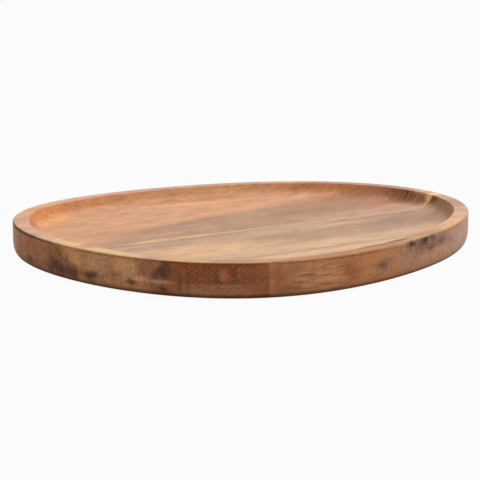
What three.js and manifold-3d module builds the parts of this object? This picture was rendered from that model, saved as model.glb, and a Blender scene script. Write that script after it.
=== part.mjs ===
// A serving tray cut from one edge-glued acacia blank: four boards, a thin line of glue in each of
// the three joints between them, and a pebble outline with a rounded foot, a flat rim and a coved dish.
// Millimetres. +X runs along the grain, +Y across the boards, +Z up from the underside.
import * as THREE from 'three';
import { LoftGeometry } from 'three/addons/geometries/LoftGeometry.js';
import { mergeVertices } from 'three/addons/utils/BufferGeometryUtils.js';
import Module from 'manifold-3d';

// Outline from above: a pebble with one end narrower than the other
const LENGTH = 310; // along the pebble's own axis
const WIDTH = 258; // across it, halfway along
const TAPER = 0.175; // share by which the narrow end draws in
const FULLNESS = 0.14; // share by which the ends are fuller than an ellipse
const AXIS_TURN = 7; // degrees from the grain to the pebble's axis

// Section through the edge
const FLOOR_THICKNESS = 13; // wood left under the dish
const DISH_DEPTH = 8; // from the rim down to the dish floor
const RIM_WIDTH = 10; // from the outer wall to the dish wall
const EDGE_ROUND = 1.5; // outer top edge
const LIP_ROUND = 1; // inner top edge
const WALL_LEAN = 36; // degrees the dish wall leans away from upright
const COVE_RADIUS = 13; // hollow between the dish wall and its floor
const FOOT_HEIGHT = 8.5; // rounding under the outer wall
const FOOT_INSET = 3.5;

// Boards of the blank, counted from the near edge; the far board takes what is left
const EDGE_STRIP_WIDTH = 9;
const NEAR_BOARD_WIDTH = 45;
const MIDDLE_BOARD_WIDTH = 72;
const GLUE_LINE = 0.2;

// Fineness of the curved faces
const OUTLINE_STEPS = 96;
const ARC_STEPS = 3; // a quarter round gets twice as many facets

const HEIGHT = FLOOR_THICKNESS + DISH_DEPTH;
const CUT_MARGIN = 10; // how far a cutter stands past the tray
const WELD = 1e-4; // points closer than this are one point

const COLOURS = {
  farBoard: '#c48a63',
  middleBoard: '#a98a72',
  nearBoard: '#c39c77',
  edgeStrip: '#a5704a',
  glue: '#6f4b33',
};

const wasm = await Module();
wasm.setup();

// The pebble: an ellipse drawn in towards one end and filled out at both, turned on the boards
class PebbleOutline extends THREE.Curve {
  getPoint(t, target = new THREE.Vector2()) {
    const angle = 2 * Math.PI * t;
    const along = Math.cos(angle);
    const drawnIn = (1 - TAPER * along) * (1 + FULLNESS * along ** 2);
    target.set((LENGTH / 2) * along, (WIDTH / 2) * Math.sin(angle) * drawnIn);
    return target.rotateAround(new THREE.Vector2(), THREE.MathUtils.degToRad(AXIS_TURN));
  }
}

const outline = new PebbleOutline();
const footprint = new THREE.Box2().setFromPoints(outline.getPoints(OUTLINE_STEPS));

// Outside of the blank from the underside up to the rim; x is the inset from the outer wall
function outerSection() {
  const section = new THREE.Path();
  section.moveTo(FOOT_INSET, 0);
  section.absellipse(FOOT_INSET, FOOT_HEIGHT, FOOT_INSET, FOOT_HEIGHT, -Math.PI / 2, -Math.PI, true);
  section.absarc(EDGE_ROUND, HEIGHT - EDGE_ROUND, EDGE_ROUND, Math.PI, Math.PI / 2, true);
  return section.getPoints(ARC_STEPS);
}

// What is hollowed out, from the dish floor up its cove and leaning wall and over the rounded lip
function dishSection() {
  const lean = THREE.MathUtils.degToRad(WALL_LEAN);
  const fall = 1 - Math.sin(lean); // share of a radius that an arc drops before it meets the leaning wall
  const coveRadius = Math.min(COVE_RADIUS, DISH_DEPTH / fall - LIP_ROUND);
  const wallDrop = DISH_DEPTH - (LIP_ROUND + coveRadius) * fall;
  const lipX = RIM_WIDTH - LIP_ROUND;
  const coveX = lipX + (LIP_ROUND + coveRadius) * Math.cos(lean) + wallDrop * Math.tan(lean);

  const section = new THREE.Path();
  section.moveTo(coveX, FLOOR_THICKNESS);
  section.absarc(coveX, FLOOR_THICKNESS + coveRadius, coveRadius, (3 * Math.PI) / 2, Math.PI + lean, true);
  section.absarc(lipX, HEIGHT - LIP_ROUND, LIP_ROUND, lean, Math.PI / 2, false);
  section.lineTo(lipX, HEIGHT + CUT_MARGIN);
  return section.getPoints(ARC_STEPS);
}

// A section carried round the outline, each ring parallel to the last
function carriedRound(section) {
  const middle = footprint.getCenter(new THREE.Vector2());
  const stations = [];
  for (let i = 0; i < OUTLINE_STEPS; i++) {
    const t = i / OUTLINE_STEPS;
    const tangent = outline.getTangent(t);
    stations.push({ edge: outline.getPoint(t).sub(middle), inward: new THREE.Vector2(-tangent.y, tangent.x) });
  }
  const rings = section.map(({ x: inset, y: z }) =>
    stations.map(({ edge, inward }) => {
      const point = edge.clone().addScaledVector(inward, inset);
      return new THREE.Vector3(point.x, point.y, z);
    }),
  );
  return solidOf(new LoftGeometry(rings, { capStart: true, capEnd: true }));
}

function solidOf(geometry) {
  const bare = new THREE.BufferGeometry();
  bare.setAttribute('position', geometry.attributes.position);
  bare.setIndex(geometry.index);
  const welded = mergeVertices(bare, WELD);
  return new wasm.Manifold(
    new wasm.Mesh({
      numProp: 3,
      vertProperties: new Float32Array(welded.attributes.position.array),
      triVerts: new Uint32Array(welded.index.array),
    }),
  );
}

function pieceOf(solid, name, colour) {
  const { vertProperties, triVerts } = solid.getMesh();
  const geometry = new THREE.BufferGeometry();
  geometry.setAttribute('position', new THREE.BufferAttribute(vertProperties, 3));
  geometry.setIndex(new THREE.BufferAttribute(triVerts, 1));
  geometry.computeVertexNormals();
  const piece = new THREE.Mesh(geometry, new THREE.MeshStandardMaterial({ color: colour, roughness: 0.55 }));
  piece.name = name;
  return piece;
}

// What lies between two planes across the grain
function sliceOf(blank, nearY, farY) {
  const size = footprint.getSize(new THREE.Vector2());
  const slab = new THREE.BoxGeometry(size.x + 2 * CUT_MARGIN, farY - nearY, HEIGHT + 2 * CUT_MARGIN);
  slab.translate(0, (nearY + farY) / 2, HEIGHT / 2);
  return blank.intersect(solidOf(slab));
}

const halfSpan = footprint.getSize(new THREE.Vector2()).y / 2;
const edgeJoint = EDGE_STRIP_WIDTH - halfSpan;
const nearJoint = edgeJoint + NEAR_BOARD_WIDTH;
const farJoint = nearJoint + MIDDLE_BOARD_WIDTH;
const halfGlue = GLUE_LINE / 2;

const slices = [
  ['edge_strip', -halfSpan - CUT_MARGIN, edgeJoint - halfGlue, COLOURS.edgeStrip],
  ['edge_glue_line', edgeJoint - halfGlue, edgeJoint + halfGlue, COLOURS.glue],
  ['near_board', edgeJoint + halfGlue, nearJoint - halfGlue, COLOURS.nearBoard],
  ['near_glue_line', nearJoint - halfGlue, nearJoint + halfGlue, COLOURS.glue],
  ['middle_board', nearJoint + halfGlue, farJoint - halfGlue, COLOURS.middleBoard],
  ['far_glue_line', farJoint - halfGlue, farJoint + halfGlue, COLOURS.glue],
  ['far_board', farJoint + halfGlue, halfSpan + CUT_MARGIN, COLOURS.farBoard],
];

const blank = carriedRound(outerSection()).subtract(carriedRound(dishSection()));
const tray = new THREE.Group();
tray.name = 'serving_tray';
for (const [name, nearY, farY, colour] of slices) {
  tray.add(pieceOf(sliceOf(blank, nearY, farY), name, colour));
}

export default tray;
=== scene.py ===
# A pebble-shaped acacia serving tray: four glued boards that were dished and rounded as one form.
# Lengths are metres in the meshes and millimetres in the wood patterns. +X runs along the grain.
import math

import bmesh
import bpy
import numpy as np
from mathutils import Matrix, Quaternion, Vector


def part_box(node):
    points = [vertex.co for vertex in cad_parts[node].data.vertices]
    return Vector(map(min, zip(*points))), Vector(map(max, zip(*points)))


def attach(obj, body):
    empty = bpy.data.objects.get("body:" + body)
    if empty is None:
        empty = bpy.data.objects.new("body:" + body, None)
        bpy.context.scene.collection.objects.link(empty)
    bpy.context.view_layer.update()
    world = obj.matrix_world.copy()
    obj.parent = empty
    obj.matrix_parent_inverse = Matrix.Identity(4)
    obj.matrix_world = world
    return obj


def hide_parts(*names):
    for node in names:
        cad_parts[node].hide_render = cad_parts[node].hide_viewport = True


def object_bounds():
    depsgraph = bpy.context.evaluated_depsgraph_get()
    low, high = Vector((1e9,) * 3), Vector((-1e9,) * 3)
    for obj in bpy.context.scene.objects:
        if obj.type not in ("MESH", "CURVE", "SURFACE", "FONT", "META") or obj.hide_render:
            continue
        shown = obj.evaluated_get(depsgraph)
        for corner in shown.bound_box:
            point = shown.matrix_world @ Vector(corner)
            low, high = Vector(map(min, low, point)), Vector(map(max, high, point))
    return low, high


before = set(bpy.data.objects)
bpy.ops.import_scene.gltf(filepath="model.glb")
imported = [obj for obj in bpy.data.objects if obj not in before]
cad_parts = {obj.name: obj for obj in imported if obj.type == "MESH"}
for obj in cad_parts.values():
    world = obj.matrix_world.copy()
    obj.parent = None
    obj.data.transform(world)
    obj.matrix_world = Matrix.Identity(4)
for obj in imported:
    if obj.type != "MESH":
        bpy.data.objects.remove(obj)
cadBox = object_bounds()
print("frame loaded with", len(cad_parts), "nodes")

trayForm = {
    "length": 0.310, "width": 0.258, "taper": 0.175, "fullness": 0.14, "axisTurn": 7.0,
    "height": 0.021, "dishDepth": 0.008, "rimWidth": 0.010,
    "edgeRound": 0.0015, "lipRound": 0.001, "wallLean": 36.0, "coveRadius": 0.013,
    "footHeight": 0.0085, "footInset": 0.0035,
    "aroundSteps": 720, "arcSteps": 14, "flatSteps": 22, "straightSteps": 7, "slopeSteps": 3,
    "levelTolerance": 1e-7, "cutTolerance": 1e-8, "outsideTolerance": 1e-4,
}


def paint(red, green, blue):  # 0 to 255 as seen on screen, to linear light
    shown = np.array([red, green, blue]) / 255.0
    linear = np.where(shown <= 0.04045, shown / 12.92, ((shown + 0.055) / 1.055) ** 2.4)
    return tuple(float(part) for part in linear) + (1.0,)


# Outline: half length times cos a and half width times sin a, the width drawn in by 1 - taper cos a
# and filled out by 1 + fullness cos a squared, turned on the grain and centred on its own box.
def pebbleOutline(angles):
    f = trayForm
    c, s = np.cos(angles), np.sin(angles)
    drawnIn = 1 - f["taper"] * c
    filledOut = 1 + f["fullness"] * c**2
    swell = drawnIn * filledOut
    swellRate = f["taper"] * s * filledOut - drawnIn * 2 * f["fullness"] * c * s
    along = np.stack([f["length"] / 2 * c, f["width"] / 2 * s * swell], axis=-1)
    rate = np.stack([-f["length"] / 2 * s, f["width"] / 2 * (c * swell + s * swellRate)], axis=-1)
    turn = math.radians(f["axisTurn"])
    spin = np.array([[math.cos(turn), math.sin(turn)], [-math.sin(turn), math.cos(turn)]])
    edge, heading = along @ spin, rate @ spin
    edge -= (edge.max(axis=0) + edge.min(axis=0)) / 2
    heading /= np.linalg.norm(heading, axis=1, keepdims=True)
    return edge, np.stack([-heading[:, 1], heading[:, 0]], axis=-1)


# An arc of an ellipse: centre plus radius times cosine and sine between two angles in degrees.
def arc(centreX, centreZ, radiusX, radiusZ, start, end):
    a = np.radians(np.linspace(start, end, trayForm["arcSteps"] + 1))
    return np.stack([centreX + radiusX * np.cos(a), centreZ + radiusZ * np.sin(a)], axis=-1)


# The points between two ends of a straight stretch, without the ends.
def straight(start, end, steps):
    return np.linspace(start, end, steps + 1)[1:-1]


# Half section as inset and height: foot round, outer wall, edge round, rim, lip round, leaning wall
# and cove. An arc drops 1 - sin(lean) of its radius before it meets the leaning wall.
def edgeSection():
    f = trayForm
    high, lean = f["height"], math.radians(f["wallLean"])
    footHeight, footInset, edgeRound = f["footHeight"], f["footInset"], f["edgeRound"]
    lipRound, coveRadius = f["lipRound"], f["coveRadius"]
    drop = f["dishDepth"] - (lipRound + coveRadius) * (1 - math.sin(lean))
    lipX = f["rimWidth"] - lipRound
    coveX = lipX + (lipRound + coveRadius) * math.cos(lean) + drop * math.tan(lean)
    coveZ = high - f["dishDepth"] + coveRadius
    foot = arc(footInset, footHeight, footInset, footHeight, 270, 180)
    edge = arc(edgeRound, high - edgeRound, edgeRound, edgeRound, 180, 90)
    lip = arc(lipX, high - lipRound, lipRound, lipRound, 90, f["wallLean"])
    cove = arc(coveX, coveZ, coveRadius, coveRadius, 180 + f["wallLean"], 270)
    wall = straight(foot[-1], edge[0], f["straightSteps"])
    rim = straight(edge[-1], lip[0], f["straightSteps"])
    slope = straight(lip[-1], cove[0], f["slopeSteps"])
    return np.concatenate([foot, wall, edge, rim, lip, slope, cove])


# The whole tray skin: the section carried round the outline, point = edge + inset * inward normal,
# with the underside and the dish floor closed by rings that shrink to their middles. Its colour
# attribute says how far a point is outer wall (red), dish wall (green) and rim (blue).
def traySkin():
    f = trayForm
    count = f["aroundSteps"]
    edge, inward = pebbleOutline(np.linspace(0, 2 * np.pi, count, endpoint=False))
    section = edgeSection()
    shrink = np.linspace(0, 1, f["flatSteps"] + 1)[1:-1]
    first = len(shrink)
    last = first + len(section)
    rings = np.zeros((last + first, count, 3))
    rings[:first, :, :2] = (edge + inward * section[0, 0]) * shrink[:, None, None]
    rings[:first, :, 2] = section[0, 1]
    rings[first:last, :, :2] = edge + inward * section[:, 0, None, None]
    rings[first:last, :, 2] = section[:, 1, None]
    rings[last:, :, :2] = (edge + inward * section[-1, 0]) * shrink[::-1, None, None]
    rings[last:, :, 2] = section[-1, 1]
    points = np.concatenate([rings.reshape(-1, 3), [[0, 0, section[0, 1]], [0, 0, section[-1, 1]]]])
    place = np.arange(len(rings) * count).reshape(len(rings), count)
    after = np.roll(place, -1, axis=1)
    quads = np.stack([place[:-1], after[:-1], after[1:], place[1:]], axis=-1).reshape(-1, 4)
    low, high = len(points) - 2, len(points) - 1
    lowFan = np.stack([after[0], place[0], np.full(count, low)], axis=-1)
    highFan = np.stack([place[-1], after[-1], np.full(count, high)], axis=-1)
    mesh = bpy.data.meshes.new("traySkin")
    mesh.from_pydata(points.tolist(), [], quads.tolist() + lowFan.tolist() + highFan.tolist())
    normals = np.zeros(len(points) * 3)
    mesh.vertices.foreach_get("normal", normals)
    steep = 1 - np.abs(normals.reshape(-1, 3)[:, 2])
    ringNumber = np.arange(len(points)) // count - first
    rimStart = int(np.argmax(section[:, 1] > f["height"] - f["levelTolerance"]))
    zones = np.ones((len(points), 4))
    zones[:, 0] = steep * (ringNumber < rimStart)
    zones[:, 1] = steep * (ringNumber > rimStart) / (1 - math.sin(math.radians(f["wallLean"])))
    zones[:, 2] = (points[:, 2] > f["height"] - f["edgeRound"] / 2) * (1 - steep)
    zones[[low, high], :2] = 0
    skinZones = mesh.attributes.new("skinZones", "FLOAT_COLOR", "POINT")
    skinZones.data.foreach_set("color", zones.ravel())
    return mesh


# One slice of the skin between two planes across the grain, with its glued faces closed.
def slicePiece(skin, name, nearY, farY):
    shape = bmesh.new()
    shape.from_mesh(skin)
    for y, outward in ((nearY, -1), (farY, 1)):
        cut = bmesh.ops.bisect_plane(
            shape, geom=shape.verts[:] + shape.edges[:] + shape.faces[:], clear_outer=True,
            dist=trayForm["cutTolerance"], plane_co=(0, y, 0), plane_no=(0, outward, 0))
        loop = [part for part in cut["geom_cut"] if isinstance(part, bmesh.types.BMEdge)]
        if loop:
            bmesh.ops.triangle_fill(shape, edges=loop, use_beauty=True)
            for side in loop:
                side.smooth = False
    bmesh.ops.recalc_face_normals(shape, faces=shape.faces[:])
    mesh = bpy.data.meshes.new(name)
    shape.to_mesh(mesh)
    shape.free()
    mesh.polygons.foreach_set("use_smooth", np.ones(len(mesh.polygons), dtype=bool))
    piece = bpy.data.objects.new(name, mesh)
    bpy.context.scene.collection.objects.link(piece)
    return piece


# One socket of a node tree. Arithmetic between these and numbers adds Math nodes.
class Shade:
    def __init__(self, tree, socket=None):
        self.tree, self.socket = tree, socket

    # any node: its type, its settings, the values or links of its sockets and the output to take
    def add(self, kind, settings=None, sockets=None, output=0):
        made = self.tree.nodes.new(kind)
        for key, value in (settings or {}).items():
            setattr(made, key, value)
        for key, value in (sockets or {}).items():
            if isinstance(value, Shade):
                self.tree.links.new(value.socket, made.inputs[key])
            else:
                made.inputs[key].default_value = value
        return Shade(self.tree, made.outputs[output] if len(made.outputs) else None)

    def maths(self, operation, *values):
        return self.add("ShaderNodeMath", {"operation": operation}, dict(enumerate(values)))

    def __add__(self, other):
        return self.maths("ADD", self, other)

    def __radd__(self, other):
        return self.maths("ADD", other, self)

    def __sub__(self, other):
        return self.maths("SUBTRACT", self, other)

    def __rsub__(self, other):
        return self.maths("SUBTRACT", other, self)

    def __mul__(self, other):
        return self.maths("MULTIPLY", self, other)

    def __rmul__(self, other):
        return self.maths("MULTIPLY", other, self)

    def __truediv__(self, other):
        return self.maths("DIVIDE", self, other)

    def __pow__(self, other):
        return self.maths("POWER", self, other)

    # 0 at low and top at high, eased at both ends; low may be the larger
    def ease(self, low, high, top=1.0):
        return self.add("ShaderNodeMapRange", {"interpolation_type": "SMOOTHSTEP"},
                        {"Value": self, "From Min": low, "From Max": high, "To Max": top})

    def blend(self, first, second):  # self is the share of the second colour
        return self.add("ShaderNodeMix", {"data_type": "RGBA", "clamp_factor": True},
                        {0: self, 6: first, 7: second}, 2)

    def tint(self, other):  # a colour times a colour
        return self.add("ShaderNodeMix", {"data_type": "RGBA", "blend_type": "MULTIPLY"},
                        {0: 1.0, 6: self, 7: other}, 2)


def emptyTree(owner):  # of a material or a world
    owner.use_nodes = True
    owner.node_tree.nodes.clear()
    return Shade(owner.node_tree)


# What all the boards share. A pair says where an effect starts and where it is full; places are in mm.
boardFinish = {
    "rough": 0.6, "roughSpread": 0.2, "specular": 0.03,
    "oil": 0.08, "oilHeights": (2.0, 9.0), "oilRough": 0.42,
    "bumpStrength": 0.3, "bumpDepth": 0.0003, "pepperBump": 0.4,
    "wallFade": (0.0, 0.4), "rimFade": (0.6, 0.95), "coveFade": (0.0, 0.75), "covePepper": 1 / 3,
    # painted highlight: a pale line round the wall at this height, where the foot starts
    "paintedFootHighlightHeight": 8.2, "paintedFootHighlightSpread": 0.8, "paintedFootHighlightFade": (10.0, -30.0), "paintedFootHighlightGaps": (0.3, 0.6),
    # painted shade: darker under the rim's edge between these heights
    "edgeHeights": (18.8, 20.1),
    # painted shade: darker along the underedge between these heights
    "footShade": 0.5, "footHeights": (3.3, 1.5), "footFade": (0.0, 0.25),
    "farSide": (95.0, 60.0), "farPepper": 0.2,
    "seasonStretch": 0.006, "seasonDetail": 3.0, "seasonFade": (0.3, 0.7),
    "ringWander": 1.6, "markSway": 0.4,
    "wallSeason": 0.4, "wallCloud": 1.6, "wallStart": 0.3, "longFibre": 0.6, "shortFibre": 0.5,
    "lateEnd": (1.0, 0.85), "ringFade": (0.1, 0.6), "ringEnd": (1.0, 0.7), "ringGaps": (0.25, 0.6),
    "rayFade": (-0.1, 0.25), "knotFade": (0.0, 0.4),
}

# Noise in the wood: its size along the grain, across it and upwards in mm, its detail and its shift.
# With a fade it is a mask from 0 to 1, and without one it swings about 0.
grainNoise = {
    "sway": {"size": (95, 38, 38), "detail": 1.0, "shift": 0.0},
    "shortSway": {"size": (26, 38, 38), "detail": 1.0, "shift": 0.0},
    "frayed": {"size": (42, 2.6, 2.6), "detail": 3.0, "shift": 3.7},
    "cloudy": {"size": (7, 6, 6), "detail": 4.0, "shift": 6.1},
    "crumbly": {"size": (2.6, 2.6, 2.0), "detail": 4.0, "shift": 5.9},
    "rays": {"size": (1.5, 1.5, 40), "detail": 3.0, "shift": 2.9, "slant": 0.35},
    "ringWander": {"size": (60, 14, 14), "detail": 2.0, "shift": 9.1},
    "broken": {"size": (30, 9, 9), "detail": 2.0, "shift": 1.9, "fade": (0.35, 0.6)},
    "flecks": {"size": (9, 2.2, 5), "detail": 3.0, "shift": 8.3, "fade": (0.46, 0.66)},
    "lines": {"size": (15, 6, 0.7), "detail": 3.0, "shift": 8.8, "fade": (0.44, 0.66)},
    "longFibre": {"size": (40, 1.1, 1.1), "detail": 3.0, "shift": 5.3},
    "shortFibre": {"size": (14, 0.8, 0.8), "detail": 3.0, "shift": 6.6},
    "streak": {"size": (80, 3.4, 3.4), "detail": 3.0, "shift": 7.9},
    "figure": {"size": (18, 13, 13), "detail": 5.0, "shift": 2.2},
    "fleck": {"size": (11, 2.2, 2.2), "detail": 2.0, "shift": 9.7},
    "pores": {"size": (9, 0.5, 0.5), "detail": 1.0, "shift": 1.3, "fade": (0.6, 0.72)},
    "pepper": {"size": (0.8, 0.8, 0.8), "detail": 2.0, "shift": 4.4},
}


# A place where the wood changes colour: its middle and half sizes in mm, how strong it is, how it
# turns on the grain, how much of it is full and how ragged its edge is, and where it shows.
def mark(at, reach, colour, strength=1.0, slope=0.0, core=0.2, fray=0.4, zone=None, pattern=None):
    return {"at": at, "reach": reach, "colour": paint(*colour), "strength": strength, "slope": slope,
            "core": core, "fray": fray, "zone": zone, "pattern": pattern}


# Acacia in the round. Growth rings are the distance from a pith line that slants across the board;
# fibres, pores and streaks are noise drawn out along the grain, rays are noise drawn out upwards.
def boardWood(name, wood, marks):
    f = boardFinish
    material = bpy.data.materials.new(name)
    make = emptyTree(material)
    spot = make.add("ShaderNodeTexCoord", output="Object")
    spot = make.add("ShaderNodeVectorMath", {"operation": "SCALE"}, {0: spot, "Scale": 1000.0})
    x, y, z = (make.add("ShaderNodeSeparateXYZ", sockets={0: spot}, output=part) for part in "XYZ")
    zones = make.add("ShaderNodeAttribute", {"attribute_name": "skinZones"}, output="Color")
    wall, cove, rim = (
        make.add("ShaderNodeSeparateColor", sockets={0: zones}, output=part).ease(*f[fade])
        for part, fade in (("Red", "wallFade"), ("Green", "coveFade"), ("Blue", "rimFade")))

    def noise(kind):
        n = grainNoise[kind]
        vector = make.add("ShaderNodeMapping", {"vector_type": "TEXTURE"}, {
            "Vector": spot, "Location": (-n["size"][0] * (wood["seed"] + n["shift"]), 0.0, 0.0),
            "Rotation": (0.0, n.get("slant", 0.0), 0.0), "Scale": n["size"]})
        found = make.add("ShaderNodeTexNoise", sockets={
            "Vector": vector, "Scale": 1.0, "Detail": n["detail"]})
        return found.ease(*n["fade"]) if "fade" in n else found - 0.5

    # wide bands of colour from season to season, cloudier on the end grain of the outer wall
    sway = noise(wood["swayKind"]) * wood["sway"]
    pithY, pithZ, pithSlope = wood["pith"]
    fromPith = y + sway - x * pithSlope - pithY
    away = (fromPith**2 + (z - pithZ) ** 2) ** 0.5
    season = make.add("ShaderNodeCombineXYZ", sockets={
        0: x * f["seasonStretch"] + wood["seed"], 1: away / wood["bandWidth"]})
    season = make.add("ShaderNodeTexNoise", sockets={
        "Vector": season, "Scale": 1.0, "Detail": f["seasonDetail"]})
    season = season.ease(*f["seasonFade"])
    cloudy = noise("cloudy")
    mottled = season * f["wallSeason"] + cloudy * f["wallCloud"] + f["wallStart"]
    colour = season.blend(wood["pale"], wood["dark"])
    colour = wall.blend(colour, mottled.blend(wood["wallPale"], wood["wallDark"]))
    colour = rim.blend(colour, season.blend(wood["rimPale"], wood["rimDark"]))

    # growth rings, which darken towards their outer side and end short of it
    rays = noise("rays")
    ringStep = make.maths("FRACT", away / wood["ringWidth"] + noise("ringWander") * f["ringWander"])
    late = ringStep**3 * ringStep.ease(*f["lateEnd"]) * noise("broken")
    rings = ringStep.ease(*f["ringFade"]) * ringStep.ease(*f["ringEnd"])
    patterns = {
        "flecks": noise("flecks"),
        "lines": noise("lines"),
        "rings": rings * (cloudy + 0.5).ease(*f["ringGaps"]),
        "rays": rays.ease(*f["rayFade"]),
    }
    zone = {"wall": wall, "knot": wall.ease(*f["knotFade"]), "hollow": cove, "rim": rim}
    frayed = noise("frayed")
    edges = {"wall": cloudy, "knot": noise("crumbly")}
    place = make.add("ShaderNodeCombineXYZ", sockets={0: x, 1: y + sway * f["markSway"], 2: z})
    for feature in marks:
        local = make.add("ShaderNodeMapping", {"vector_type": "TEXTURE"}, {
            "Vector": place, "Location": feature["at"], "Scale": feature["reach"],
            "Rotation": (0.0, 0.0, math.atan(feature["slope"]))})
        far = make.add("ShaderNodeVectorMath", {"operation": "LENGTH"}, {0: local}, "Value")
        edge = edges.get(feature["zone"], frayed)
        share = make.maths("MULTIPLY_ADD", edge, 2 * feature["fray"], far)
        share = share.ease(1.0, feature["core"], feature["strength"])
        if feature["zone"]:
            share = share * zone[feature["zone"]]
        if feature["pattern"]:
            share = share * patterns[feature["pattern"]]
        colour = share.blend(colour, feature["colour"])

    fibre = noise("longFibre") * f["longFibre"] + noise("shortFibre") * f["shortFibre"]
    pores = noise("pores")
    pepper = noise("pepper")
    grain = 1.0 + fibre * wood["fibre"] - late * wood["late"] - pores * wood["pores"]
    for kind in ("streak", "figure", "fleck"):
        grain = grain + noise(kind) * wood[kind]
    # end grain is speckled, and the far side of the wall, which shows long grain, hardly is
    speckled = y.ease(*f["farSide"], 1 - f["farPepper"]) + f["farPepper"]
    onWall = rays * wood["rays"] + pepper * wood["pepper"] * speckled + cloudy * wood["mottle"]
    grain = grain + wall * onWall
    grain = grain + cove * (rays * wood["coveRays"] + pepper * (wood["pepper"] * f["covePepper"]))
    # painted shade as a thin dark line under the rim, a painted highlight as a pale line where the
    # foot starts, and painted shade along the underedge
    paintedFootHighlight = ((z - f["paintedFootHighlightHeight"]) ** 2).ease(f["paintedFootHighlightSpread"], 0.0, wood["paintedFootHighlight"])
    paintedFootHighlight = paintedFootHighlight * (cloudy + 0.5).ease(*f["paintedFootHighlightGaps"]) * x.ease(*f["paintedFootHighlightFade"])
    grain = grain * (1.0 + wall * (paintedFootHighlight - z.ease(*f["edgeHeights"], wood["edgeShade"])))
    grain = grain * (1.0 - z.ease(*f["footHeights"], f["footShade"]) * wall.ease(*f["footFade"]))
    colour = colour.tint(make.add("ShaderNodeCombineColor", sockets={0: grain, 1: grain, 2: grain}))
    # the dish wall tinted darker and warmer: partly its end grain's own colour, partly painted shade
    # and painted warm bounce light in the hollow
    colour = cove.blend(colour, colour.tint(wood["coveTintAndShade"]))

    bump = make.add("ShaderNodeBump", sockets={
        "Strength": f["bumpStrength"], "Distance": f["bumpDepth"],
        "Height": fibre + pepper * f["pepperBump"] - pores})
    oiled = z.ease(*f["oilHeights"], f["oil"]) - pores * (f["oil"] / 2)
    surface = make.add("ShaderNodeBsdfPrincipled", sockets={
        "Base Color": colour, "Roughness": f["rough"] + fibre * f["roughSpread"], "Normal": bump,
        "Specular IOR Level": f["specular"], "Coat Weight": oiled, "Coat Roughness": f["oilRough"]})
    make.add("ShaderNodeOutputMaterial", sockets={"Surface": surface})
    return material


# Places along and across the tray in metres: where each colour of the glue starts and is full.
glueLine = {
    "patchScale": 160.0, "patchDetail": 2.0, "patchFade": (0.35, 0.65), "wallFade": (0.2, 0.6),
    "rough": 0.45, "roughSpread": 0.2, "specular": 0.03,
    "brown": paint(172, 128, 99), "tan": paint(190, 146, 116),
    "narrowEnd": (0.115, 0.135), "narrowEndColour": paint(112, 76, 54),
    "nearJoint": (-0.03, -0.07), "nearJointColour": paint(206, 166, 134),
    "edgeJoint": (-0.1, -0.115), "edgeJointColour": paint(184, 138, 106),
    "wideWallColour": paint(176, 122, 87),
    "leftWall": (-0.12, -0.1), "leftWallColour": paint(182, 115, 77),
    "rightWall": (-0.05, 0.05), "rightWallColour": paint(204, 156, 127),
}


# Set glue: a little darker than the wood of the dish, and near the colour of the wood down the walls.
def glueFilm():
    g = glueLine
    material = bpy.data.materials.new("setGlue")
    make = emptyTree(material)
    spot = make.add("ShaderNodeTexCoord", output="Object")
    along = make.add("ShaderNodeSeparateXYZ", sockets={0: spot}, output="X")
    across = make.add("ShaderNodeSeparateXYZ", sockets={0: spot}, output="Y")
    patchy = make.add("ShaderNodeTexNoise", sockets={
        "Vector": spot, "Scale": g["patchScale"], "Detail": g["patchDetail"]})
    inDish = patchy.ease(*g["patchFade"]).blend(g["brown"], g["tan"])
    for place, part in ((along, "narrowEnd"), (across, "nearJoint"), (across, "edgeJoint")):
        inDish = place.ease(*g[part]).blend(inDish, g[part + "Colour"])
    onWall = g["wideWallColour"]
    for part in ("leftWall", "rightWall"):
        onWall = along.ease(*g[part]).blend(onWall, g[part + "Colour"])
    zones = make.add("ShaderNodeAttribute", {"attribute_name": "skinZones"}, output="Color")
    wall = make.add("ShaderNodeSeparateColor", sockets={0: zones}, output="Red")
    surface = make.add("ShaderNodeBsdfPrincipled", sockets={
        "Base Color": wall.ease(*g["wallFade"]).blend(inDish, onWall),
        "Roughness": patchy * g["roughSpread"] + g["rough"], "Specular IOR Level": g["specular"]})
    make.add("ShaderNodeOutputMaterial", sockets={"Surface": surface})
    return material


# Marks that run on from one board into the next
paintedJointShadow = [
    # painted shadow: the wall at the wide end darker across the joint, darkest low down
    mark((-154, -6, 11), (14, 13, 16), (176, 116, 78), 0.95, 0.0, 0.5, 0.4, "wall"),
    mark((-153, -9, 7.2), (16, 19, 6.5), (108, 76, 60), 0.9, 0.0, 0.2, 0.45, "wall"),
]
knotHaze = mark((36, -117.5, 16.5), (34, 16, 9), (140, 100, 81), 0.8, 0.45, 0.0, 0.6, "knot")
firstKnot = mark((22.5, -122, 19.2), (7, 5.5, 3.2), (58, 44, 38), 0.9, 0.3, 0.0, 0.5, "knot")

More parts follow.
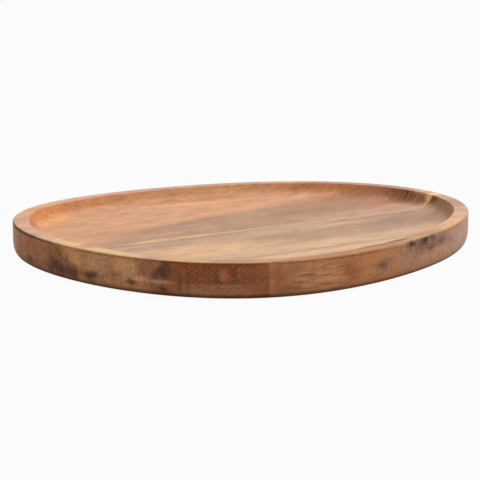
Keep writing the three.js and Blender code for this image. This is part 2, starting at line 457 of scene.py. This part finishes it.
farBoard = {
    "wood": {
        "seed": 11.0, "pith": (38.0, 12.0, 0.16), "bandWidth": 9.0, "ringWidth": 4.2,
        "sway": 9.0, "swayKind": "sway",
        "pale": paint(223, 169, 131), "dark": paint(216, 161, 125),
        "wallPale": paint(212, 146, 104), "wallDark": paint(180, 116, 80),
        "rimPale": paint(224, 180, 148), "rimDark": paint(216, 171, 141),
        "coveTintAndShade": paint(238, 216, 192),
        "fibre": 0.44, "streak": 0.08, "figure": 0.44, "late": 0.13, "pores": 0.24,
        "fleck": 0.5, "rays": 0.06, "coveRays": 0.5, "pepper": 1.6, "mottle": 0.8,
        "paintedFootHighlight": 0.15, "edgeShade": 0.2,
    },
    "marks": [
        # grey-brown heartwood that widens towards the narrow end
        mark((20, 22, 13), (170, 34, 60), (188, 147, 122), 0.95, 0.2, 0.75, 0.15),
        mark((95, 38, 13), (75, 40, 60), (184, 137, 111), 0.8, 0.05, 0.4, 0.3),
        mark((92, 4, 13), (84, 14, 60), (196, 156, 131), 0.95, 0.02, 0.5, 0.3),
        mark((-45, 36, 13), (80, 8, 60), (174, 134, 112), 0.6, 0.24, 0.3, 0.4),
        mark((55, 29, 13), (52, 10, 60), (172, 132, 111), 0.7, 0.1, 0.3, 0.5),
        mark((-60, 14, 13), (55, 8, 60), (206, 162, 136), 0.6, 0.1, 0.3, 0.4),
        # orange wood at the far left, yellower streaks along the far side
        mark((-104, 92, 15), (36, 24, 30), (236, 174, 120), 0.85, 0.6, 0.3, 0.2),
        mark((5, 99, 13), (60, 6, 30), (236, 188, 142), 0.6, -0.18, 0.3, 0.4),
        # painted shade and painted warm bounce light: the floor darker and oranger along the foot of
        # the far cove
        mark((15, 109, 13), (80, 8, 8), (210, 150, 110), 0.6, -0.2, 0.2, 0.4),
        mark((38, 108, 13), (26, 8, 8), (206, 143, 100), 0.7, -0.25, 0.2, 0.4),
        mark((-46, 92, 13), (6, 3, 30), (196, 136, 100), 0.6, 0.0, 0.3, 0.3),
        mark((-102, 36, 13), (16, 9, 30), (202, 146, 112), 0.5, 0.2, 0.3, 0.6),
        # the lip pale at the wide end; short dark flecks in the far cove, which is red-brown
        # towards the narrow end
        # painted light: the top of the dish wall at the wide end painted paler than the rim so that it
        # looks as lit as the rim
        mark((-136, 42, 20.8), (26, 62, 2.2), (255, 222, 190), 0.85, 0.0, 0.5, 0.1, "hollow"),
        mark((25, 114, 17), (90, 34, 9), (226, 186, 152), 0.8, -0.2, 0.4, 0.3, "hollow"),
        mark((-10, 120, 18), (70, 14, 6), (160, 100, 62), 0.45, 0.0, 0.3, 0.5, "hollow", "rays"),
        mark((106, 84, 17), (18, 20, 8), (188, 142, 108), 0.7, -0.6, 0.3, 0.4, "hollow"),
        mark((118, 70, 16), (46, 22, 9), (228, 167, 124), 0.7, -0.8, 0.3, 0.4, "hollow"),
        mark((116, 56, 13), (32, 15, 12), (176, 124, 94), 0.75, -0.7, 0.3, 0.4),
        mark((127, 25, 13), (16, 9, 12), (190, 128, 92), 0.7, -0.3, 0.3, 0.4),
        # dark curved rings in the cove beside the sapwood
        mark((140, 20, 16.5), (15, 24, 7), (158, 114, 84), 0.85, -0.35, 0.3, 0.3),
        mark((143, 24, 20), (14, 20, 3), (138, 94, 64), 0.55, -0.35, 0.2, 0.3, "hollow"),
        mark((140, 19, 17), (13, 19, 7), (92, 58, 38), 0.65, -0.35, 0.2, 0.4, None, "rings"),
        mark((141, 4, 17), (9, 9, 6), (140, 102, 74), 0.75, 0.0, 0.2, 0.4),
        # pale sapwood along the joint, bright yellow where it comes out at the end
        mark((-72, -2, 13), (52, 4.8, 30), (230, 188, 147), 0.8, -0.04, 0.4, 0.4),
        mark((-18, -4.5, 13), (50, 3, 30), (216, 178, 148), 0.8, 0.0, 0.4, 0.4),
        mark((60, -5, 13), (110, 3.5, 30), (216, 176, 144), 0.8, 0.0, 0.4, 0.5),
        mark((150, -14, 24), (30, 20, 14), (250, 210, 150), 1.0, 0.0, 0.68, 0.12),
        mark((136, -6, 15), (12, 1.8, 6), (250, 206, 150), 0.9, 0.0, 0.4, 0.1),
        # far rim greyer, cream by the joint at the wide end
        mark((35, 124, 21), (110, 36, 4), (206, 164, 139), 0.75, -0.3, 0.5, 0.2, "rim"),
        mark((-147, -4, 21), (10, 9, 4), (238, 196, 150), 0.85, 0.0, 0.5, 0.3, "rim"),
        mark((128, 58, 21), (50, 60, 4), (190, 151, 130), 0.85, 0.0, 0.5, 0.3, "rim"),
        # left wall: redder in the middle, dark patches low down, a dark line under the edge
        mark((-153, 28, 11), (10, 18, 6), (202, 126, 82), 0.6, 0.0, 0.3, 0.5, "wall"),
        mark((-146, 66, 11), (14, 22, 14), (226, 176, 142), 0.7, 0.0, 0.3, 0.4, "wall"),
        mark((-154, 26, 5.5), (12, 12, 3.5), (120, 86, 68), 0.75, 0.0, 0.1, 0.6, "wall"),
        mark((-154.5, 9, 15), (12, 5, 5), (190, 136, 98), 0.6, 0.0, 0.1, 0.6, "wall"),
        # painted shadow across the joint at the wide end
        *paintedJointShadow,
        mark((-150, 32, 20.3), (18, 52, 1.5), (92, 66, 52), 0.85, 0.0, 0.4, 0.3, "wall"),
    ],
}
middleBoard = {
    "wood": {
        "seed": 23.0, "pith": (-40.0, 60.0, 0.0), "bandWidth": 7.0, "ringWidth": 4.5,
        "sway": 6.0, "swayKind": "sway",
        "pale": paint(210, 171, 143), "dark": paint(186, 148, 123),
        "wallPale": paint(244, 178, 126), "wallDark": paint(204, 138, 95),
        "rimPale": paint(220, 180, 150), "rimDark": paint(204, 164, 136),
        "coveTintAndShade": paint(224, 210, 200),
        "fibre": 0.38, "streak": 0.17, "figure": 0.32, "late": 0.14, "pores": 0.22,
        "fleck": 0.4, "rays": 0.15, "coveRays": 0.5, "pepper": 1.6, "mottle": 1.0,
        "paintedFootHighlight": 0.2, "edgeShade": 0.14,
    },
    "marks": [
        # cream to the left and along the near side, browner streaks next to the far joint
        mark((-75, -46, 13), (74, 28, 60), (232, 188, 144), 0.9, 0.0, 0.3, 0.4),
        mark((-20, -67, 13), (90, 13, 60), (224, 185, 149), 0.9, 0.0, 0.4, 0.4),
        mark((70, -68, 13), (60, 10, 60), (220, 180, 148), 0.8, 0.05, 0.3, 0.4),
        mark((-86, -18, 13), (42, 7, 60), (200, 156, 127), 0.6, -0.02, 0.3, 0.6),
        # grey streak with dark flecks, a small dark knot, greyer streaks to the right
        mark((105, -32, 13), (62, 26, 60), (167, 133, 111), 0.85, 0.0, 0.3, 0.4),
        mark((84, -14, 13), (56, 3.2, 60), (164, 128, 106), 0.45, -0.03, 0.2, 0.7),
        mark((56, -13, 13), (20, 5, 60), (122, 90, 72), 0.65, -0.05, 0.3, 0.3, None, "flecks"),
        mark((122, -13, 13), (24, 4, 60), (128, 96, 77), 0.6, 0.0, 0.3, 0.3, None, "flecks"),
        mark((12, -23, 13), (3.4, 2.4, 60), (146, 110, 90), 0.8, 0.0, 0.2, 0.4),
        mark((75, -40, 13), (60, 7, 60), (180, 144, 120), 0.6, 0.0, 0.3, 0.6),
        mark((-4, -40, 13), (14, 13, 60), (192, 156, 130), 0.5, 0.0, 0.3, 0.5),
        # dark grey-brown in the cove at the narrow end, darkest beside the joint
        mark((132, -34, 18), (26, 42, 9), (185, 148, 116), 0.85, 0.0, 0.5, 0.3, "hollow"),
        mark((132, -34, 18), (26, 42, 9), (104, 78, 58), 0.5, 0.0, 0.5, 0.3, "hollow", "rays"),
        mark((143, -10, 19), (8, 6.5, 5.5), (92, 62, 45), 0.8, 0.0, 0.2, 0.4, "hollow"),
        # cream rim at the left with a grey patch, an orange edge below it
        mark((-142, -36, 21), (18, 52, 4), (238, 196, 150), 0.9, 0.0, 0.6, 0.2, "rim"),
        mark((-144, -27, 21), (10, 7, 4), (200, 160, 134), 0.8, 0.0, 0.3, 0.4, "rim"),
        mark((-140, -50, 20.4), (40, 60, 1.5), (204, 138, 80), 0.85, 0.0, 0.5, 0.2, "wall"),
        # end wall at the narrow end pinkish grey
        mark((130, -45, 10), (44, 60, 40), (212, 173, 153), 0.95, 0.0, 0.5, 0.2, "wall"),
        # end-grain wall: gold patches, dark ones low down, a pale arc, browner by the joint
        mark((-151.5, -26.5, 13), (10, 6, 7), (250, 182, 116), 0.9, 0.0, 0.3, 0.5, "wall"),
        mark((-147.5, -43, 14), (10, 9, 6), (226, 176, 138), 0.8, 0.0, 0.2, 0.5, "wall"),
        mark((-143.5, -56, 9), (10, 7, 4.5), (162, 108, 77), 0.7, 0.0, 0.2, 0.6, "wall"),
        mark((-142, -61, 15.5), (10, 5.5, 5), (255, 190, 130), 0.9, 0.0, 0.2, 0.5, "wall"),
        mark((-135.5, -73.5, 14.5), (10, 7, 7), (188, 126, 88), 0.6, 0.0, 0.2, 0.5, "wall"),
        mark((-153, -18.5, 13), (10, 2.4, 6), (150, 98, 66), 0.6, 0.0, 0.2, 0.6, "wall"),
        mark((-144.6, -53, 14), (10, 4.5, 4.5), (164, 122, 98), 0.6, 0.0, 0.2, 0.7, "wall"),
        mark((-139.5, -66, 14.5), (10, 7.5, 6), (255, 188, 128), 0.85, 0.0, 0.3, 0.5, "wall"),
        mark((-133, -77, 14), (10, 7, 20), (184, 126, 90), 0.7, 0.0, 0.2, 0.5, "wall"),
        mark((-153, -14, 6.5), (14, 25, 8), (140, 94, 70), 0.9, 0.0, 0.1, 0.5, "wall"),
        # painted shadow across the joint at the wide end
        *paintedJointShadow,
        mark((-152, -21, 6), (12, 13, 5.5), (138, 94, 70), 0.95, 0.0, 0.0, 0.5, "wall"),
        mark((-149, -37.5, 6.4), (12, 15, 5), (112, 72, 52), 0.95, 0.0, 0.0, 0.5, "wall"),
        mark((-138.7, -68, 6.6), (10, 6, 3), (104, 74, 58), 0.8, 0.0, 0.0, 0.6, "wall"),
        # painted highlight: a pale line along the wall where the foot starts
        mark((-136, -72, 9.2), (12, 14, 2.4), (232, 186, 148), 0.8, 0.0, 0.0, 0.5, "wall"),
    ],
}
nearBoard = {
    "wood": {
        "seed": 37.0, "pith": (-40.0, 62.0, 0.0), "bandWidth": 5.0, "ringWidth": 1.9,
        "sway": 5.0, "swayKind": "sway",
        "pale": paint(230, 190, 153), "dark": paint(214, 173, 138),
        "wallPale": paint(198, 122, 78), "wallDark": paint(170, 100, 62),
        "rimPale": paint(208, 162, 126), "rimDark": paint(192, 146, 112),
        "coveTintAndShade": paint(225, 205, 185),
        "fibre": 0.3, "streak": 0.24, "figure": 0.25, "late": 0.1, "pores": 0.2,
        "fleck": 0.4, "rays": 0.4, "coveRays": 0.5, "pepper": 0.8, "mottle": 0.5,
        "paintedFootHighlight": 0.12, "edgeShade": 0.2,
    },
    "marks": [
        # dark blotches and lines down the end-grain wall; lighter towards the foot, which is painted
        # light bounced up from the table
        mark((-108, -108, 3.5), (40, 34, 7.5), (224, 158, 115), 0.85, -0.9, 0.15, 0.4, "wall"),
        mark((-108, -108, 14), (34, 30, 12), (110, 62, 38), 0.7, -0.9, 0.3, 0.3, "wall", "rays"),
        mark((-108, -108, 14), (36, 32, 13), (96, 52, 32), 0.36, -0.9, 0.4, 0.3, "wall", "rings"),
        mark((-131, -82, 12), (9, 11, 20), (200, 140, 100), 0.8, 0.0, 0.2, 0.5, "wall"),
        mark((-104.5, -110.2, 13.5), (6, 6, 5.5), (220, 140, 86), 0.85, 0.0, 0.1, 0.6, "wall"),
        mark((-128, -86.5, 15.5), (5.5, 6, 9), (84, 58, 52), 0.7, 0.0, 0.0, 0.8, "wall"),
        mark((-130.5, -82.5, 12), (5.5, 6, 6), (92, 64, 56), 0.65, 0.0, 0.0, 0.8, "wall"),
        mark((-128.8, -85, 4.4), (4.4, 5, 2.8), (80, 56, 46), 0.8, 0.0, 0.0, 0.5, "wall"),
        mark((-122, -95, 15), (2.2, 3, 4), (206, 124, 74), 0.6, 0.0, 0.2, 0.6, "wall"),
        mark((-123.2, -93, 8.5), (1.5, 4, 8), (116, 74, 53), 0.5, 0.0, 0.0, 0.8, "wall"),
        mark((-119.8, -97.2, 8), (2.0, 4, 8.5), (106, 68, 50), 0.4, 0.0, 0.0, 0.8, "wall"),
        # painted highlights: pale lines along the wall where the foot starts
        mark((-130, -84, 8.4), (12, 15, 1.8), (224, 178, 144), 0.7, 0.0, 0.0, 0.5, "wall"),
        mark((-106, -110, 7.6), (26, 40, 1.3), (206, 152, 118), 0.5, 0.0, 0.0, 0.4, "wall"),
        mark((-90, -120, 11), (7, 7, 12), (178, 111, 73), 0.45, 0.0, 0.2, 0.6, "wall"),
        # a red-brown edge and a cream rim above it
        mark((-100, -108, 20.4), (60, 44, 1.5), (166, 94, 46), 0.9, -0.6, 0.5, 0.2, "wall"),
        mark((-120, -88, 21), (24, 26, 4), (230, 187, 146), 0.75, -0.6, 0.3, 0.4, "rim"),
        # the wall turns orange-brown, then pinkish towards the narrow end
        mark((44, -114, 10), (60, 34, 40), (208, 154, 120), 1.0, 0.4, 0.4, 0.2, "wall"),
        mark((100, -84, 10), (60, 48, 40), (208, 168, 148), 1.0, 0.0, 0.3, 0.4, "wall"),
        mark((53.5, -111, 11), (7, 5, 3.6), (226, 164, 112), 0.7, 0.5, 0.2, 0.6, "wall"),
        mark((78, -98, 9), (8, 6, 4), (214, 160, 122), 0.6, 0.6, 0.2, 0.6, "wall"),
        mark((70, -103, 14), (9, 6, 4), (172, 134, 116), 0.6, 0.5, 0.2, 0.6, "wall"),
        # an orange edge and a pale rim above it, dark knots along its top
        mark((84, -96, 20.2), (34, 30, 1.6), (232, 156, 90), 0.8, 0.6, 0.5, 0.25, "wall"),
        knotHaze,
        mark((58, -108.5, 15.8), (22, 16, 6), (146, 112, 98), 0.5, 0.5, 0.0, 0.6, "knot"),
        mark((92, -88, 21), (50, 28, 4), (230, 183, 141), 0.85, 0.6, 0.4, 0.3, "rim"),
        firstKnot,
        mark((37, -117.3, 19), (8.5, 6.5, 3.4), (62, 46, 40), 0.9, 0.4, 0.0, 0.5, "knot"),
        mark((46, -113.8, 19.4), (6, 5, 3), (110, 84, 70), 0.8, 0.4, 0.0, 0.7, "knot"),
        mark((58.5, -108.2, 15.4), (9, 7.5, 4), (114, 91, 84), 0.65, 0.5, 0.0, 0.5, "knot"),
        mark((45, -114.4, 13), (6, 5, 2.6), (120, 86, 68), 0.7, 0.4, 0.0, 0.6, "knot"),
        # dark streaks along the rim
        mark((-8, -121.2, 21), (28, 1.4, 2), (116, 92, 82), 0.9, 0.1, 0.3, 0.3),
        mark((14, -118.2, 21), (15, 1.7, 2), (112, 90, 80), 0.85, 0.16, 0.3, 0.3),
        mark((16, -115.5, 21), (18, 1.1, 2), (128, 104, 92), 0.8, 0.12, 0.3, 0.3),
    ],
}
edgeStrip = {
    "wood": {
        "seed": 51.0, "pith": (-128.0, -45.0, 0.0), "bandWidth": 6.0, "ringWidth": 1.7,
        "sway": 12.0, "swayKind": "shortSway",
        "pale": paint(212, 160, 124), "dark": paint(196, 144, 110),
        "wallPale": paint(230, 158, 109), "wallDark": paint(210, 140, 95),
        "rimPale": paint(198, 148, 112), "rimDark": paint(182, 132, 98),
        "coveTintAndShade": paint(230, 210, 190),
        "fibre": 0.34, "streak": 0.22, "figure": 0.2, "late": 0.05, "pores": 0.18,
        "fleck": 0.3, "rays": 0.15, "coveRays": 0.3, "pepper": 0.9, "mottle": 0.6,
        "paintedFootHighlight": 0.12, "edgeShade": 0.12,
    },
    "marks": [
        # a dark edge, the near board's colour carried on past the joint and a pale line
        mark((-40, -128, 20.4), (60, 16, 1.5), (180, 114, 66), 0.85, 0.0, 0.5, 0.2, "wall"),
        mark((-86, -123, 11), (4.4, 4, 20), (184, 117, 79), 1.0, 0.0, 0.4, 0.2, "wall"),
        mark((-81.6, -124.9, 13), (1.2, 3, 8), (240, 174, 122), 0.4, 0.0, 0.2, 0.3, "wall"),
        # paler in the middle with dark lines along the grain, browner at both sides
        mark((-54, -131, 11), (22, 8, 11), (248, 178, 126), 0.8, 0.0, 0.4, 0.4, "wall"),
        mark((-54, -131, 11), (34, 8, 12), (150, 92, 58), 0.65, 0.0, 0.3, 0.4, "wall", "lines"),
        mark((-74.5, -127, 13), (4, 4, 5), (184, 120, 80), 0.6, 0.0, 0.1, 0.6, "wall"),
        mark((-72, -127.5, 5), (12, 6, 4), (194, 128, 88), 0.6, 0.0, 0.2, 0.5, "wall"),
        mark((-78, -125.8, 11), (5.5, 5, 14), (196, 122, 80), 0.75, 0.0, 0.1, 0.5, "wall"),
        mark((-30, -132, 12), (10, 6, 9), (190, 114, 74), 0.6, 0.0, 0.2, 0.6, "wall"),
        # a grey knot, then the near board's colour and its knots
        mark((-4.5, -128.7, 10.5), (11, 8, 6.5), (126, 98, 84), 0.8, 0.0, 0.0, 0.6, "wall"),
        mark((22, -122, 10), (24, 12, 40), (208, 154, 120), 1.0, 0.0, 0.3, 0.3, "wall"),
        knotHaze,
        firstKnot,
    ],
}


def dressTray():
    skin = traySkin()
    beyond = trayForm["length"]
    nearest = cadBox[0][1] + trayForm["outsideTolerance"]
    farthest = cadBox[1][1] - trayForm["outsideTolerance"]
    boards = {
        "far_board": farBoard, "middle_board": middleBoard,
        "near_board": nearBoard, "edge_strip": edgeStrip,
    }
    glue = glueFilm()
    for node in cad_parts:
        low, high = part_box(node)
        nearY = low[1] if low[1] > nearest else -beyond
        farY = high[1] if high[1] < farthest else beyond
        piece = slicePiece(skin, node + "_shaped", nearY, farY)
        if node in boards:
            board = boards[node]
            piece.data.materials.append(boardWood(node + "_wood", board["wood"], board["marks"]))
        else:
            piece.data.materials.append(glue)
        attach(piece, "root")
        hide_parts(node)
        print(node, "shaped with", len(piece.data.polygons), "faces")
    bpy.data.meshes.remove(skin)


viewpoint = {
    "azimuth": -35.963, "elevation": 10.755, "distance": 1.033,
    "aimRight": -0.01313, "aimUp": -0.00613, "roll": 0.108, "lens": 119.475, "sensor": 36.0,
}


def placeCamera():
    v = viewpoint
    az, el = math.radians(v["azimuth"]), math.radians(v["elevation"])
    back = Vector((math.sin(az) * math.cos(el), -math.cos(az) * math.cos(el), math.sin(el)))
    right = Vector((math.cos(az), math.sin(az), 0.0))
    middle = Vector((0.0, 0.0, trayForm["height"] / 2))
    aim = middle + right * v["aimRight"] + back.cross(right) * v["aimUp"]
    data = bpy.data.cameras.new("trayCamera")
    data.lens, data.sensor_width = v["lens"], v["sensor"]
    camera = bpy.data.objects.new("trayCamera", data)
    camera.location = middle + back * v["distance"]
    camera.rotation_mode = "QUATERNION"
    facing = (aim - camera.location).to_track_quat("-Z", "Y")
    camera.rotation_quaternion = facing @ Quaternion((0, 0, 1), math.radians(v["roll"]))
    bpy.context.scene.collection.objects.link(camera)
    bpy.context.scene.camera = camera


lamps = {
    "topLamp": {"power": 11.8, "size": 1.2, "place": (0.4, 0.05, 1.45)},
    "sideLamp": {"power": 5.0, "size": 0.8, "place": (1.15, -0.3, 0.75)},
}


def softLamp(name, power, size, place):
    data = bpy.data.lights.new(name, "AREA")
    data.energy, data.shape, data.size = power, "DISK", size
    lamp = bpy.data.objects.new(name, data)
    lamp.location = place
    lamp.rotation_mode = "QUATERNION"
    lamp.rotation_quaternion = (-Vector(place)).to_track_quat("-Z", "Y")
    bpy.context.scene.collection.objects.link(lamp)


stage = {
    "floorReach": 9.0, "floorDrop": 0.0003, "floorTone": 0.45, "floorGlow": 0.95,
    "skyStrength": 0.42,
}
white = (1.0, 1.0, 1.0, 1.0)


def inView(make):  # 1 where the camera looks, also by way of a reflection or through glass
    seen = make.add("ShaderNodeLightPath", output="Is Camera Ray")
    for ray in ("Is Glossy Ray", "Is Transmission Ray"):
        seen = make.maths("MAXIMUM", seen, make.add("ShaderNodeLightPath", output=ray))
    return seen


# A pale table: lit as a plain surface, but shown to the camera and to reflections nearly white.
def paleFloor():
    corners = np.array([[-1, -1, 0], [1, -1, 0], [1, 1, 0], [-1, 1, 0]]) * stage["floorReach"]
    mesh = bpy.data.meshes.new("paleFloor")
    mesh.from_pydata((corners - [0, 0, stage["floorDrop"]]).tolist(), [], [(0, 1, 2, 3)])
    floor = bpy.data.objects.new("paleFloor", mesh)
    bpy.context.scene.collection.objects.link(floor)
    material = bpy.data.materials.new("paleFloor")
    make = emptyTree(material)
    tone = stage["floorTone"]
    plain = make.add("ShaderNodeBsdfDiffuse", sockets={"Color": (tone, tone, tone, 1.0)})
    glow = make.add("ShaderNodeEmission", sockets={"Color": white, "Strength": 1.0})
    shown = inView(make) * stage["floorGlow"]
    face = make.add("ShaderNodeMixShader", sockets={0: shown, 1: plain, 2: glow})
    clear = make.add("ShaderNodeBsdfTransparent")
    under = make.add("ShaderNodeNewGeometry", output="Backfacing")
    face = make.add("ShaderNodeMixShader", sockets={0: under, 1: face, 2: clear})
    make.add("ShaderNodeOutputMaterial", sockets={"Surface": face})
    mesh.materials.append(material)


def softSky():
    world = bpy.data.worlds.new("softSky")
    make = emptyTree(world)
    strength = inView(make) * (1.0 - stage["skyStrength"]) + stage["skyStrength"]
    sky = make.add("ShaderNodeBackground", sockets={"Color": white, "Strength": strength})
    make.add("ShaderNodeOutputWorld", sockets={"Surface": sky})
    bpy.context.scene.world = world


placeCamera()
dressTray()
paleFloor()
softSky()
for name, lamp in lamps.items():
    softLamp(name, lamp["power"], lamp["size"], lamp["place"])
bpy.context.scene.view_settings.view_transform = "Standard"
print("stage and light placed")
